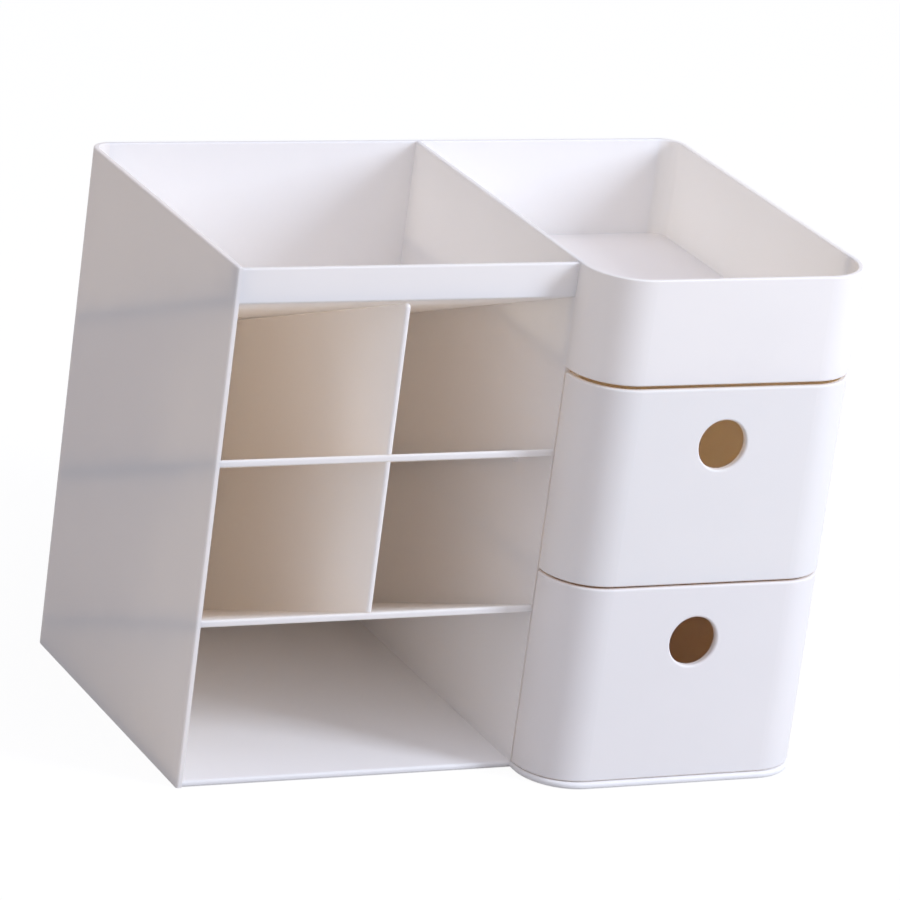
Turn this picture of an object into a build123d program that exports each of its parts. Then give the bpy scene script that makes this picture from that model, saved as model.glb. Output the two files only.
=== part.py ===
"""Desk organizer: an open cell block on the left and a drawer tower on the right.

Millimetres, +Z up, front towards -Y, origin at the resting plane under the middle of the outline.
"""

import os
from math import atan2, cos

from build123d import *

# Plan sizes
cell_block_width = 135.3  # outer left face to the left face of the center wall
tower_width = 114.7  # left face of the center wall to the outer right face
cabinet_depth = 147.0  # seam plane, where drawers meet walls, to the back
tower_projection = 23.0  # drawer fronts ahead of the seam plane
flank_depth = 2.0  # straight flank from the seam plane to the tower's front corner
lip_projection = 1.0  # base lip ahead of the drawer fronts
back_radius = 8.5  # upright back corners
corner_ease = 1.0  # more radius on the sloped plates, so that they clear the back left corner

# Heights
drawer_front_height = 77.0
tray_height = 40.75
tray_gap = 1.5  # slot between the tray and the upper drawer
drawer_gap = 0.9  # slot between the two drawers
lip_gap = 0.25  # slot between the lower drawer and the base plate
bar_height = 13.1
bar_drop = 0.6  # top of the bar below the rim of the walls
bin_floor_drop = 0.8  # underside of the bin floor below the bar
compartment_height = 60.4  # bottom compartment, clear at its front edge
rear_clearance = 3.4  # under the lower shelf at the back panel

# Thicknesses
wall = 2.2
base_thickness = 2.6
shelf_thickness = 2.6
divider_thickness = 2.2
divider_top_gap = 0.9  # upper divider to the bin floor
tray_floor_thickness = 2.0
deck_thickness = 2.0

# Drawers
drawer_wall = 2.2
drawer_floor_thickness = 2.6
front_wall = 2.4
box_drop = 6.0  # drawer sides below the top of the drawer front
box_corner_radius = 5.0
finger_hole_diameter = 19.5
finger_hole_drop = 22.3  # top of the drawer front to the middle of the finger hole
seam_gap = 1.2  # drawer flange to the front edges of the walls
side_clearance = 0.6  # drawer box to the walls of its bay
rear_gap = 3.0  # drawer box to the back panel
running_gap = 0.3  # upper drawer to the deck that it slides on

# Ledges under the middle shelf
ledge_height = 1.6
ledge_width = 1.5
ledge_setback = 27.0  # front edge of the shelf to the front end of a ledge

# Rounded edges
rim_round = 0.6
side_round = 1.0  # outer front edge of the left wall
front_round = 0.8
shelf_round = 0.8
lip_round = 1.2
hole_round = 0.9
divider_round = 0.9
divider_tip_round = 1.5
round_limit = 0.46  # share of a thickness that two facing rounds may each take

# Places worked out from the sizes
overall_width = cell_block_width + tower_width
overall_depth = cabinet_depth + tower_projection + lip_projection
x_left = -overall_width / 2
x_right = overall_width / 2
x_cells = x_left + wall
x_center = x_left + cell_block_width
x_divider = (x_cells + x_center) / 2
x_bay_left = x_center + wall
x_bay_right = x_right - wall
x_tower = (x_center + x_right) / 2
y_back = overall_depth / 2
y_back_inner = y_back - wall
y_seam = y_back - cabinet_depth
y_front = y_seam - tower_projection
y_lip = y_front - lip_projection
tower_radius = tower_projection - flank_depth

z_lower_drawer = base_thickness + lip_gap
z_upper_drawer = z_lower_drawer + drawer_front_height + drawer_gap
z_tray = z_upper_drawer + drawer_front_height + tray_gap
overall_height = z_tray + tray_height
z_bar_top = overall_height - bar_drop
z_bar = z_bar_top - bar_height
z_deck_top = z_upper_drawer - running_gap

# Shelves and bin floor fall side by side from the seam plane to the back panel
shelf_run = y_back_inner - y_seam
shelf_fall = compartment_height - rear_clearance
shelf_slope = shelf_fall / shelf_run
shelf_rise = shelf_thickness / cos(atan2(shelf_fall, shelf_run))
z_lower_shelf = base_thickness + compartment_height
cell_height = (z_bar - z_lower_shelf - 2 * shelf_rise) / 2
z_middle_shelf = z_lower_shelf + shelf_rise + cell_height
z_bin_floor = z_bar + wall * shelf_slope - bin_floor_drop

# Drawer box and the room inside it
x_box_left = x_bay_left + side_clearance
x_box_right = x_bay_right - side_clearance
x_room_left = x_box_left + drawer_wall
x_room_right = x_box_right - drawer_wall
y_flange = y_seam - seam_gap
y_box_rear = y_back_inner - rear_gap
y_room_rear = y_box_rear - drawer_wall

tolerance = 0.01  # for picking edges and corners

os.makedirs("parts", exist_ok=True)


def save(piece, label):
    piece.part.label = label
    export_step(piece.part, f"parts/{label}.step")


def block_between(x_min, x_max, y_min, y_max, z_min, z_max):
    with Locations((x_min, y_min, z_min)):
        Box(x_max - x_min, y_max - y_min, z_max - z_min, align=Align.MIN)


def rectangle_between(x_min, x_max, y_min, y_max, mode=Mode.ADD):
    with Locations((x_min, y_min)):
        Rectangle(x_max - x_min, y_max - y_min, align=Align.MIN, mode=mode)


def corners_at(plan, y):
    """Corners of a plan that lie at depth y, from left to right."""
    return plan.vertices().filter_by_position(Axis.Y, y - tolerance, y + tolerance).sort_by(Axis.X)


def edges_ahead(shape, y):
    """Edges of a face or wire that lie ahead of depth y."""
    return shape.edges().filter_by(lambda edge: edge.center().Y < y - tolerance)


def rim_edges(piece):
    """Long edges around the top of a wall."""
    top = piece.faces().sort_by(Axis.Z)[-1]
    return top.edges().filter_by(lambda edge: edge.length > wall + tolerance)


def cell_block():
    """Plan of the cell block between its walls, rounded in the back corner of the left wall."""
    with BuildSketch(mode=Mode.PRIVATE) as block:
        rectangle_between(x_cells, x_center, y_seam, y_back_inner)
        fillet(corners_at(block, y_back_inner)[0], back_radius - wall + corner_ease)
    return block.sketch


def tower_block(y_nose, y_rear, inset=0.0):
    """Plan of the tower ahead of y_rear, with rounded front corners, drawn in from its outline."""
    with BuildSketch(mode=Mode.PRIVATE) as block:
        rectangle_between(x_center + inset, x_right - inset, y_nose + inset, y_rear)
        fillet(corners_at(block, y_nose + inset), tower_radius - inset)
    return block.sketch


def bay_block():
    """Plan of the drawer bay, rounded where it meets the back corner of the right wall."""
    with BuildSketch(mode=Mode.PRIVATE) as block:
        rectangle_between(x_bay_left, x_bay_right, y_seam, y_back_inner)
        fillet(corners_at(block, y_back_inner)[-1], back_radius - wall)
    return block.sketch


def corner_wall_face(x_outer, inward):
    """Plan of a side wall that turns through a rounded corner into the back."""
    x_inner = x_outer + inward * wall
    x_turn = x_outer + inward * back_radius
    y_turn = y_back - back_radius
    with BuildLine() as outline:
        Line((x_outer, y_seam), (x_outer, y_turn))
        TangentArc((x_outer, y_turn), (x_turn, y_back), tangent=(0, 1))
        Line((x_turn, y_back), (x_turn, y_back_inner))
        TangentArc((x_turn, y_back_inner), (x_inner, y_turn), tangent=(-inward, 0))
        Line((x_inner, y_turn), (x_inner, y_seam))
        Line((x_inner, y_seam), (x_outer, y_seam))
    make_face(outline.edges())


def falling(z_at_seam, y):
    """Height at depth y of a sloped line that stands at z_at_seam in the seam plane."""
    return z_at_seam - (y - y_seam) * shelf_slope


def sloped_band(y_start, y_end, z_bottom, z_top):
    """Face between two parallel sloped lines, with upright ends, drawn in the YZ plane."""
    with BuildLine() as outline:
        Polyline(
            (y_start, falling(z_top, y_start)),
            (y_end, falling(z_top, y_end)),
            (y_end, falling(z_bottom, y_end)),
            (y_start, falling(z_bottom, y_start)),
            close=True,
        )
    make_face(outline.edges())


# Base plate between the walls, with the lip that runs on under the drawer fronts
with BuildPart() as base_plate:
    with BuildSketch() as base_plan:
        rectangle_between(x_cells, x_bay_right, y_seam, y_back_inner)
        fillet(corners_at(base_plan, y_back_inner), back_radius - wall)
        add(tower_block(y_lip, y_seam))
    extrude(amount=base_thickness)
    floor_front = base_plate.faces().filter_by(Axis.Y).sort_by(Axis.X)[0].edges().filter_by(Axis.X)
    lip_edges = edges_ahead(base_plate.faces().filter_by(Axis.Z), y_seam)
    fillet(floor_front + lip_edges, min(lip_round, round_limit * base_thickness))
save(base_plate, "base_plate")

# Outer walls, with one front edge of the left wall in sight
with BuildPart() as left_wall:
    with BuildSketch():
        corner_wall_face(x_left, 1)
    extrude(amount=overall_height)
    front_upright = left_wall.edges().filter_by(Axis.Z).group_by(Axis.Y)[0].sort_by(Axis.X)[0]
    fillet(front_upright, min(side_round, wall - rim_round - tolerance))
    fillet(rim_edges(left_wall), min(rim_round, round_limit * wall))
save(left_wall, "left_wall")

with BuildPart() as right_wall:
    with BuildSketch():
        corner_wall_face(x_right, -1)
    extrude(amount=overall_height)
    fillet(rim_edges(right_wall), min(rim_round, round_limit * wall))
save(right_wall, "right_wall")

with BuildPart() as back_panel:
    block_between(x_left + back_radius, x_right - back_radius, y_back_inner, y_back, 0, overall_height)
    fillet(rim_edges(back_panel), min(rim_round, round_limit * wall))
save(back_panel, "back_panel")

# Center wall between the cell block and the drawer bay
with BuildPart() as center_wall:
    block_between(x_center, x_bay_left, y_seam, y_back_inner, base_thickness, overall_height)
    fillet(rim_edges(center_wall), min(rim_round, round_limit * wall))
save(center_wall, "center_wall")

# Bar across the front of the bin
with BuildPart() as bin_front_bar:
    block_between(x_cells, x_center, y_seam, y_seam + wall, z_bar, z_bar_top)
    fillet(bin_front_bar.edges().filter_by(Axis.X), min(rim_round, round_limit * wall))
save(bin_front_bar, "bin_front_bar")

# Sloped bin floor behind the bar
with BuildPart() as bin_floor:
    with BuildSketch(Plane.YZ.offset(x_cells)):
        sloped_band(y_seam + wall, y_back_inner, z_bin_floor, z_bin_floor + shelf_rise)
    extrude(amount=x_center - x_cells)
    with BuildSketch():
        add(cell_block())
    extrude(amount=overall_height, mode=Mode.INTERSECT)
save(bin_floor, "bin_floor")

# Sloped shelves, rounded along the front edge
for label, z_shelf in (("middle_shelf", z_middle_shelf), ("lower_shelf", z_lower_shelf)):
    with BuildPart() as shelf:
        with BuildSketch(Plane.YZ.offset(x_cells)):
            sloped_band(y_seam, y_back_inner, z_shelf, z_shelf + shelf_rise)
        extrude(amount=x_center - x_cells)
        with BuildSketch():
            add(cell_block())
        extrude(amount=overall_height, mode=Mode.INTERSECT)
        front_face = shelf.faces().sort_by(Axis.Y)[0]
        fillet(front_face.edges().filter_by(Axis.X), min(shelf_round, round_limit * shelf_rise))
    save(shelf, label)

# Dividers that halve the two rows of cells, the upper one just clear of the bin floor
divider_edge_round = min(divider_round, round_limit * divider_thickness)

with BuildPart() as upper_cell_divider:
    with BuildSketch(Plane.YZ.offset(x_divider)):
        sloped_band(y_seam, y_back_inner, z_middle_shelf + shelf_rise, z_bin_floor - divider_top_gap)
    extrude(amount=divider_thickness / 2, both=True)
    tip = upper_cell_divider.faces().sort_by(Axis.Y)[0].edges().filter_by(Axis.X).sort_by(Axis.Z)[-1]
    fillet(tip, divider_tip_round)
    fillet(upper_cell_divider.faces().sort_by(Axis.Y)[0].edges().filter_by(Axis.Z), divider_edge_round)
save(upper_cell_divider, "upper_cell_divider")

with BuildPart() as lower_cell_divider:
    with BuildSketch(Plane.YZ.offset(x_divider)):
        sloped_band(y_seam, y_back_inner, z_lower_shelf + shelf_rise, z_middle_shelf)
    extrude(amount=divider_thickness / 2, both=True)
    fillet(lower_cell_divider.faces().sort_by(Axis.Y)[0].edges().filter_by(Axis.Z), divider_edge_round)
save(lower_cell_divider, "lower_cell_divider")

# Ledges on both walls that carry the middle shelf
y_ledge = y_seam + ledge_setback
y_ledge_end = y_back - back_radius

for label, x_wall, inward in (("left_shelf_ledge", x_cells, 1), ("right_shelf_ledge", x_center, -1)):
    with BuildPart() as ledge:
        with BuildSketch(Plane.YZ.offset(x_wall)):
            sloped_band(y_ledge, y_ledge_end, z_middle_shelf - ledge_height, z_middle_shelf)
        extrude(amount=inward * ledge_width)
    save(ledge, label)

# Open tray on top of the tower, whose rim carries on the center and right walls
with BuildPart() as top_tray:
    with BuildSketch(Plane.XY.offset(z_tray)):
        add(bay_block())
        add(tower_block(y_front, y_seam))
    extrude(amount=tray_floor_thickness)
    with BuildSketch(Plane.XY.offset(z_tray)):
        add(tower_block(y_front, y_seam))
        add(tower_block(y_front, y_seam, wall), mode=Mode.SUBTRACT)
    extrude(amount=tray_height)
    rim = edges_ahead(top_tray.faces().sort_by(Axis.Z)[-1], y_seam)
    fillet(rim, min(rim_round, round_limit * wall))
    fillet(edges_ahead(top_tray.faces().sort_by(Axis.Z)[0], y_seam), front_round)
save(top_tray, "top_tray")

# Deck between the two drawers
with BuildPart() as drawer_deck:
    with BuildSketch(Plane.XY.offset(z_deck_top)):
        add(bay_block())
    extrude(amount=-deck_thickness)
save(drawer_deck, "drawer_deck")

# Drawers: a wrap-around front that meets the walls, and a narrower box that runs in the bay
for label, z_drawer in (("upper_drawer", z_upper_drawer), ("lower_drawer", z_lower_drawer)):
    with BuildPart() as drawer:
        with BuildSketch(Plane.XY.offset(z_drawer)):
            add(tower_block(y_front, y_flange))
        extrude(amount=drawer_front_height)
        with BuildSketch(Plane.XY.offset(z_drawer)) as box_plan:
            rectangle_between(x_box_left, x_box_right, y_flange, y_box_rear)
            fillet(corners_at(box_plan, y_box_rear), box_corner_radius)
        extrude(amount=drawer_front_height - box_drop)

        # The room runs from behind the rounded front, past the flange, to the back of the box
        with BuildSketch(Plane.XY.offset(z_drawer + drawer_floor_thickness)) as room_plan:
            add(tower_block(y_front, y_flange, front_wall))
            rectangle_between(x_center, x_right, y_flange - front_wall, y_flange, mode=Mode.SUBTRACT)
            rectangle_between(x_room_left, x_room_right, y_flange - front_wall, y_room_rear)
            fillet(corners_at(room_plan, y_room_rear), box_corner_radius - drawer_wall)
        extrude(amount=drawer_front_height, mode=Mode.SUBTRACT)

        with BuildSketch(Plane.XZ.offset(-y_front)):
            with Locations((x_tower, z_drawer + drawer_front_height - finger_hole_drop)):
                Circle(finger_hole_diameter / 2)
        extrude(amount=-front_wall, mode=Mode.SUBTRACT)
        fillet(drawer.faces().sort_by(Axis.Y)[0].inner_wires().edges(), hole_round)

        fillet(edges_ahead(drawer.faces().sort_by(Axis.Z)[0], y_flange), front_round)
        fillet(edges_ahead(drawer.faces().sort_by(Axis.Z)[-1].outer_wire(), y_flange), front_round)
    save(drawer, label)
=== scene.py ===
"""Desk organizer in satin white plastic: finishes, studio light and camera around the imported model."""

import math

import bpy
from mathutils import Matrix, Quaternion, Vector


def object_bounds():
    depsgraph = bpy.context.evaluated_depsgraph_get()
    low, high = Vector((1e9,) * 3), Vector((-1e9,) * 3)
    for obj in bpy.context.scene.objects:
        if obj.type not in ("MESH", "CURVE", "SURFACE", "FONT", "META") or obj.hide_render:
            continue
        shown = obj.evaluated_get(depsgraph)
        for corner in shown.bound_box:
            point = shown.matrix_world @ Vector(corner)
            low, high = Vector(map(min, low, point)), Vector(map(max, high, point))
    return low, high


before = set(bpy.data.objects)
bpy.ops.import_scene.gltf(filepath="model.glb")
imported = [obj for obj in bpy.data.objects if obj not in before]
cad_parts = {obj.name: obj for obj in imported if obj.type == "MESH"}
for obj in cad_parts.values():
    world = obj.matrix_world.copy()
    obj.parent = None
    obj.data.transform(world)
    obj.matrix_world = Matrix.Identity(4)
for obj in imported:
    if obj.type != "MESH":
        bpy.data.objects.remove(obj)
cad_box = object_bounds()

MM = 0.001
WHITE = (1.0, 1.0, 1.0, 1.0)

# Moulded plastics of the slots, and copies of them for single pieces that are lighter, darker or pass other
# light only to paint light and shade. Each has its white, and the tint and share of the light that comes
# through a wall.
PLASTICS_AND_PAINTED_LIGHT = {
    "shell_plastic": {
        "name": "shell_satin_white",
        "white": (0.972, 0.968, 0.968),
        "passed_tint": (1.0, 0.87, 0.66),
        "passed_share": 0.20,
        "grain": 0.30,
        "shift": (0.0, 0.0, 0.0),
    },
    "insert_plastic": {
        "name": "insert_satin_white",
        "white": (0.980, 0.968, 0.954),
        "passed_tint": (1.0, 0.95, 0.88),
        "passed_share": 0.25,
        "grain": 0.36,
        "shift": (0.31, 0.17, 0.05),
    },
    "drawer_plastic": {
        "name": "drawer_satin_white",
        "white": (0.948, 0.938, 0.922),
        "passed_tint": (1.0, 0.75, 0.47),
        "passed_share": 0.14,
        "grain": 0.30,
        "shift": (0.11, 0.43, 0.23),
    },
    # Slot of the base: its white is darker than the other whites, painted shade on the floor of the bottom
    # compartment.
    "base_plastic": {
        "name": "base_white_painted_shade",
        "white": (0.880, 0.867, 0.852),
        "passed_tint": (1.0, 0.95, 0.88),
        "passed_share": 0.02,
        "grain": 0.30,
        "shift": (0.20, 0.10, 0.30),
    },
    # Upper drawer: a copy of the drawer plastic, lighter and passing more and warmer light, painted light
    # that makes its finger hole glow brighter than the lower one's.
    "upper_drawer": {
        "name": "upper_drawer_white_painted_light",
        "white": (0.955, 0.965, 0.955),
        "passed_tint": (1.0, 0.74, 0.42),
        "passed_share": 0.175,
        "grain": 0.30,
        "shift": (0.11, 0.43, 0.23),
    },
    # Left wall: a copy of the shell plastic, warmer and passing less light, painted light and shade on the
    # left face.
    "left_wall": {
        "name": "left_white_painted_light_and_shade",
        "white": (0.980, 0.963, 0.947),
        "passed_tint": (1.0, 0.87, 0.66),
        "passed_share": 0.168,
        "grain": 0.30,
        "shift": (0.0, 0.0, 0.0),
    },
    # Back panel: a copy of the shell plastic, darker and passing less light, painted shade deep in the cells
    # and on the back.
    "back_panel": {
        "name": "back_white_painted_shade",
        "white": (0.945, 0.945, 0.950),
        "passed_tint": (1.0, 0.87, 0.66),
        "passed_share": 0.14,
        "grain": 0.30,
        "shift": (0.0, 0.0, 0.0),
    },
    # Center wall: a copy of the shell plastic whose passed light is less warm, painted light colour on the
    # cells and bin beside it.
    "center_wall": {
        "name": "center_white_painted_light",
        "white": (0.972, 0.968, 0.968),
        "passed_tint": (1.0, 0.92, 0.78),
        "passed_share": 0.20,
        "grain": 0.30,
        "shift": (0.0, 0.0, 0.0),
    },
    # Right wall: a copy of the shell plastic that passes more light, and less warm, painted light on the
    # inside of the tray and in the drawer bay.
    "right_wall": {
        "name": "right_white_painted_light",
        "white": (0.972, 0.968, 0.968),
        "passed_tint": (1.0, 0.93, 0.82),
        "passed_share": 0.27,
        "grain": 0.30,
        "shift": (0.0, 0.0, 0.0),
    },
}

# What the plastics share: gloss, faint flow clouds, uneven sheen and moulded grain
PLASTIC_IOR = 1.48
SATIN_SPECULAR = 0.25
CLOUD_SCALE = 28.0
CLOUD_DETAIL = 4.0
CLOUD_RANGE = (0.40, 0.70)
CLOUD_SHADE = 0.988
SHEEN_SCALE = 90.0
SHEEN_DETAIL = 5.0
SHEEN_BREAKUP = 0.6
SHEEN_RANGE = (0.30, 0.70)
SATIN_ROUGHNESS = (0.47, 0.58)
GRAIN_SCALE = 2600.0
GRAIN_DETAIL = 2.0
GRAIN_DEPTH = 0.02 * MM

# Studio: an upright softbox, a soft fill all round and white paper
KEY_AZIMUTH = 49.5
KEY_ELEVATION = 26.0
KEY_DISTANCE = 1.5
KEY_WIDTH = 0.34
KEY_HEIGHT = 0.70
KEY_WATTS = 13.4
KEY_COLOR = (0.91, 1.0, 1.175)
FILL_COLOR = (0.965, 0.965, 1.10)
FILL_STRENGTH = 0.25
OVERHEAD_STRENGTH = 0.98
OVERHEAD_START = 0.35
FILL_AZIMUTH = -5.0
FILL_ELEVATION = 10.0
FILL_LEAN = 0.7
LIGHT_BOUNCES = 48
FLOOR_WIDTH = 12.0
FLOOR_LEVEL = -0.1 * MM
FLOOR_COLOR = (0.50, 0.49, 0.48)
FLOOR_GLOW = 0.9225
FLOOR_SHADE = (0.10, 0.10, 0.10)

# Camera of the photograph
CAMERA_PLACE = (-0.90235, -1.74684, 0.78369)
CAMERA_AIM = (0.00033, 0.00136, 0.10395)
CAMERA_ROLL = 7.614
CAMERA_LENS = 220.74
CAMERA_SENSOR = 36.0


def from_azimuth(azimuth, elevation):
    """Direction towards a point that stands at these angles, azimuth 0 being straight in front."""
    turn, rise = math.radians(azimuth), math.radians(elevation)
    return Vector((math.sin(turn) * math.cos(rise), -math.cos(turn) * math.cos(rise), math.sin(rise)))


def node(tree, kind, **values):
    """New shader node with the given input values."""
    made = tree.nodes.new(kind)
    for name, value in values.items():
        made.inputs[name.replace("_", " ")].default_value = value
    return made


def noise(tree, coordinates, scale, detail, roughness=0.5):
    """Value of a noise pattern at the coordinates."""
    made = node(tree, "ShaderNodeTexNoise", Scale=scale, Detail=detail, Roughness=roughness)
    tree.links.new(coordinates, made.inputs["Vector"])
    return made.outputs["Fac"]


def ranged(tree, value, low, high, to_low, to_high):
    """Value mapped from one range to another."""
    made = tree.nodes.new("ShaderNodeMapRange")
    for name, number in (("From Min", low), ("From Max", high), ("To Min", to_low), ("To Max", to_high)):
        made.inputs[name].default_value = number
    tree.links.new(value, made.inputs["Value"])
    return made.outputs["Result"]


def blended(tree, share, first, second):
    """Mix of two shaders. The share of the second is a number or a socket."""
    made = tree.nodes.new("ShaderNodeMixShader")
    if isinstance(share, float):
        made.inputs["Fac"].default_value = share
    else:
        tree.links.new(share, made.inputs["Fac"])
    tree.links.new(first.outputs[0], made.inputs[1])
    tree.links.new(second.outputs[0], made.inputs[2])
    return made


def satin_plastic(name, white, passed_tint, passed_share, grain, shift):
    """White satin plastic with a fine moulded grain, faint flow clouds and uneven sheen.

    Its thin walls let a share of the light through, which comes out warm.
    """
    material = bpy.data.materials.new(name)
    material.use_nodes = True
    tree = material.node_tree
    link = tree.links.new
    plastic = tree.nodes["Principled BSDF"]
    plastic.inputs["IOR"].default_value = PLASTIC_IOR
    plastic.inputs["Specular IOR Level"].default_value = SATIN_SPECULAR

    place = tree.nodes.new("ShaderNodeTexCoord")
    moved = node(tree, "ShaderNodeMapping", Location=shift)
    link(place.outputs["Object"], moved.inputs["Vector"])
    spot = moved.outputs["Vector"]

    clouds = noise(tree, spot, CLOUD_SCALE, CLOUD_DETAIL)
    tint = tree.nodes.new("ShaderNodeMix")
    tint.data_type = "RGBA"
    tint.inputs["A"].default_value = (*white, 1.0)
    tint.inputs["B"].default_value = (*(CLOUD_SHADE * level for level in white), 1.0)
    link(ranged(tree, clouds, *CLOUD_RANGE, 0.0, 1.0), tint.inputs["Factor"])
    link(tint.outputs["Result"], plastic.inputs["Base Color"])

    sheen = noise(tree, spot, SHEEN_SCALE, SHEEN_DETAIL, SHEEN_BREAKUP)
    link(ranged(tree, sheen, *SHEEN_RANGE, *SATIN_ROUGHNESS), plastic.inputs["Roughness"])

    bump = node(tree, "ShaderNodeBump", Strength=grain, Distance=GRAIN_DEPTH)
    link(noise(tree, spot, GRAIN_SCALE, GRAIN_DETAIL), bump.inputs["Height"])
    link(bump.outputs["Normal"], plastic.inputs["Normal"])

    passed = node(tree, "ShaderNodeBsdfTranslucent", Color=(*passed_tint, 1.0))
    wall = blended(tree, passed_share, plastic, passed)
    link(wall.outputs["Shader"], tree.nodes["Material Output"].inputs["Surface"])
    return material


def finish_nodes_with_painted_light():
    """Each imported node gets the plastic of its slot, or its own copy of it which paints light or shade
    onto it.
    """
    plastics_with_painted_light = {use: satin_plastic(**plastic) for use, plastic in PLASTICS_AND_PAINTED_LIGHT.items()}
    for name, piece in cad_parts.items():
        for place in piece.material_slots:
            slot = place.material.name.split(".")[0]
            place.material = plastics_with_painted_light[name if name in plastics_with_painted_light else slot]


def white_to_the_eye(tree):
    """One for rays that show the background: camera, gloss and glass."""
    rays = tree.nodes.new("ShaderNodeLightPath")
    seen = None
    for name in ("Is Camera Ray", "Is Glossy Ray", "Is Transmission Ray"):
        if seen is None:
            seen = rays.outputs[name]
            continue
        either = tree.nodes.new("ShaderNodeMath")
        either.operation = "MAXIMUM"
        tree.links.new(seen, either.inputs[0])
        tree.links.new(rays.outputs[name], either.inputs[1])
        seen = either.outputs["Value"]
    return seen


def make_floor():
    """Pale paper that looks white, with the shadow left on it, and sends back less light than it shows."""
    mesh = bpy.data.meshes.new("studio_floor")
    half = FLOOR_WIDTH / 2
    sides = ((-half, -half), (half, -half), (half, half), (-half, half))
    corners = [(across, along, FLOOR_LEVEL) for across, along in sides]
    mesh.from_pydata(corners, [], [(0, 1, 2, 3)])
    floor = bpy.data.objects.new("studio_floor", mesh)
    bpy.context.scene.collection.objects.link(floor)

    material = bpy.data.materials.new("studio_paper")
    material.use_nodes = True
    tree = material.node_tree
    tree.nodes.remove(tree.nodes["Principled BSDF"])
    paper = node(tree, "ShaderNodeBsdfDiffuse", Color=(*FLOOR_COLOR, 1.0))
    shaded = node(tree, "ShaderNodeBsdfDiffuse", Color=(*FLOOR_SHADE, 1.0))
    glow = node(tree, "ShaderNodeEmission", Color=WHITE, Strength=FLOOR_GLOW)
    shown = tree.nodes.new("ShaderNodeAddShader")
    tree.links.new(shaded.outputs["BSDF"], shown.inputs[0])
    tree.links.new(glow.outputs["Emission"], shown.inputs[1])
    surface = blended(tree, white_to_the_eye(tree), paper, shown)
    tree.links.new(surface.outputs["Shader"], tree.nodes["Material Output"].inputs["Surface"])
    mesh.materials.append(material)


def make_world():
    """Soft fill that grows from the horizon to overhead and towards the front, behind a white background."""
    world = bpy.data.worlds.new("studio")
    bpy.context.scene.world = world
    world.use_nodes = True
    tree = world.node_tree
    fill = tree.nodes["Background"]
    fill.inputs["Color"].default_value = (*FILL_COLOR, 1.0)
    sky = tree.nodes.new("ShaderNodeTexCoord")
    height = tree.nodes.new("ShaderNodeSeparateXYZ")
    tree.links.new(sky.outputs["Generated"], height.inputs["Vector"])
    strength = ranged(tree, height.outputs["Z"], OVERHEAD_START, 1.0, FILL_STRENGTH, OVERHEAD_STRENGTH)
    ahead = tree.nodes.new("ShaderNodeVectorMath")
    ahead.operation = "DOT_PRODUCT"
    ahead.inputs[1].default_value = from_azimuth(FILL_AZIMUTH, FILL_ELEVATION)
    tree.links.new(sky.outputs["Generated"], ahead.inputs[0])
    lean = ranged(tree, ahead.outputs["Value"], -1.0, 1.0, 1.0 - FILL_LEAN, 1.0 + FILL_LEAN)
    leaning = tree.nodes.new("ShaderNodeMath")
    leaning.operation = "MULTIPLY"
    tree.links.new(strength, leaning.inputs[0])
    tree.links.new(lean, leaning.inputs[1])
    tree.links.new(leaning.outputs["Value"], fill.inputs["Strength"])
    white = node(tree, "ShaderNodeBackground", Color=WHITE, Strength=1.0)
    surround = blended(tree, white_to_the_eye(tree), fill, white)
    tree.links.new(surround.outputs["Shader"], tree.nodes["World Output"].inputs["Surface"])


def make_key_light():
    """Upright softbox in front on the right."""
    lamp = bpy.data.lights.new("key_softbox", "AREA")
    lamp.shape = "RECTANGLE"
    lamp.size = KEY_WIDTH
    lamp.size_y = KEY_HEIGHT
    lamp.energy = KEY_WATTS
    lamp.color = KEY_COLOR
    key = bpy.data.objects.new("key_softbox", lamp)
    bpy.context.scene.collection.objects.link(key)
    towards = from_azimuth(KEY_AZIMUTH, KEY_ELEVATION)
    middle = (cad_box[0] + cad_box[1]) / 2
    key.location = middle + towards * KEY_DISTANCE
    key.rotation_euler = towards.to_track_quat("Z", "Y").to_euler()


def make_camera():
    """Camera of the photograph, rolled so that the organizer leans in the picture."""
    lens = bpy.data.cameras.new("photo_camera")
    lens.lens = CAMERA_LENS
    lens.sensor_width = CAMERA_SENSOR
    camera = bpy.data.objects.new("photo_camera", lens)
    bpy.context.scene.collection.objects.link(camera)
    sight = Vector(CAMERA_AIM) - Vector(CAMERA_PLACE)
    level = sight.to_track_quat("-Z", "Y")
    camera.location = CAMERA_PLACE
    camera.rotation_mode = "QUATERNION"
    camera.rotation_quaternion = level @ Quaternion((0.0, 0.0, 1.0), math.radians(CAMERA_ROLL))
    bpy.context.scene.camera = camera


finish_nodes_with_painted_light()
make_floor()
make_world()
make_key_light()
make_camera()

# Light goes on bouncing between white walls, deep into the cells and drawers
bpy.context.scene.cycles.max_bounces = LIGHT_BOUNCES
bpy.context.scene.cycles.diffuse_bounces = LIGHT_BOUNCES
bpy.context.scene.view_settings.view_transform = "Standard"
